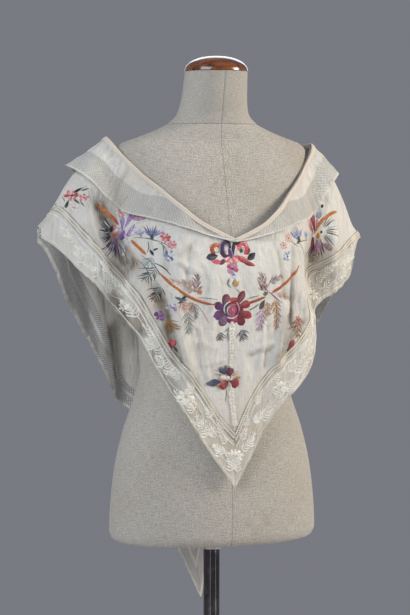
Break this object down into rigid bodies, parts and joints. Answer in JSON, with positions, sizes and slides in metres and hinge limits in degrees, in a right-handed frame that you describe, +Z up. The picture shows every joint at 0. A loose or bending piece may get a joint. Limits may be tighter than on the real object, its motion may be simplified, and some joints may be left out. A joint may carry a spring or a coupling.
{
  "type": "canezou on dress form",
  "caption": "Embroidered sheer cotton shoulder cape with collar, pointed front and long pointed back, on a linen dress form with a pole stand.",
  "frame": {"origin": "centre of the stand foot's underside, on the floor", "axes": "+Z up along the pole; the front of the cape and of the form faces -Y; +X is the right-hand side of the picture"},
  "size_m": [0.5304, 0.38, 1.5383],
  "materials": {
    "cotton": "sheer plain-weave cotton, slightly yellowed",
    "lace": "braided cotton lace and hems",
    "linen": "slubby natural linen",
    "wood": "polished red-brown wood",
    "black_metal": "glossy black",
    "bright_metal": "satin steel"
  },
  "bodies": {
    "root": {"front_panel": "cotton", "back_panel": "cotton", "border_left": "cotton", "border_right": "cotton", "collar_left": "cotton", "collar_right": "cotton", "insertion_left": "lace", "insertion_right": "lace", "neck_hem_left": "lace", "neck_hem_right": "lace", "centre_braid": "lace", "form_body": "linen", "neck_cap": "wood", "pole_socket": "bright_metal", "pole": "black_metal", "stand_foot": "black_metal"}
  },
  "joints": []
}
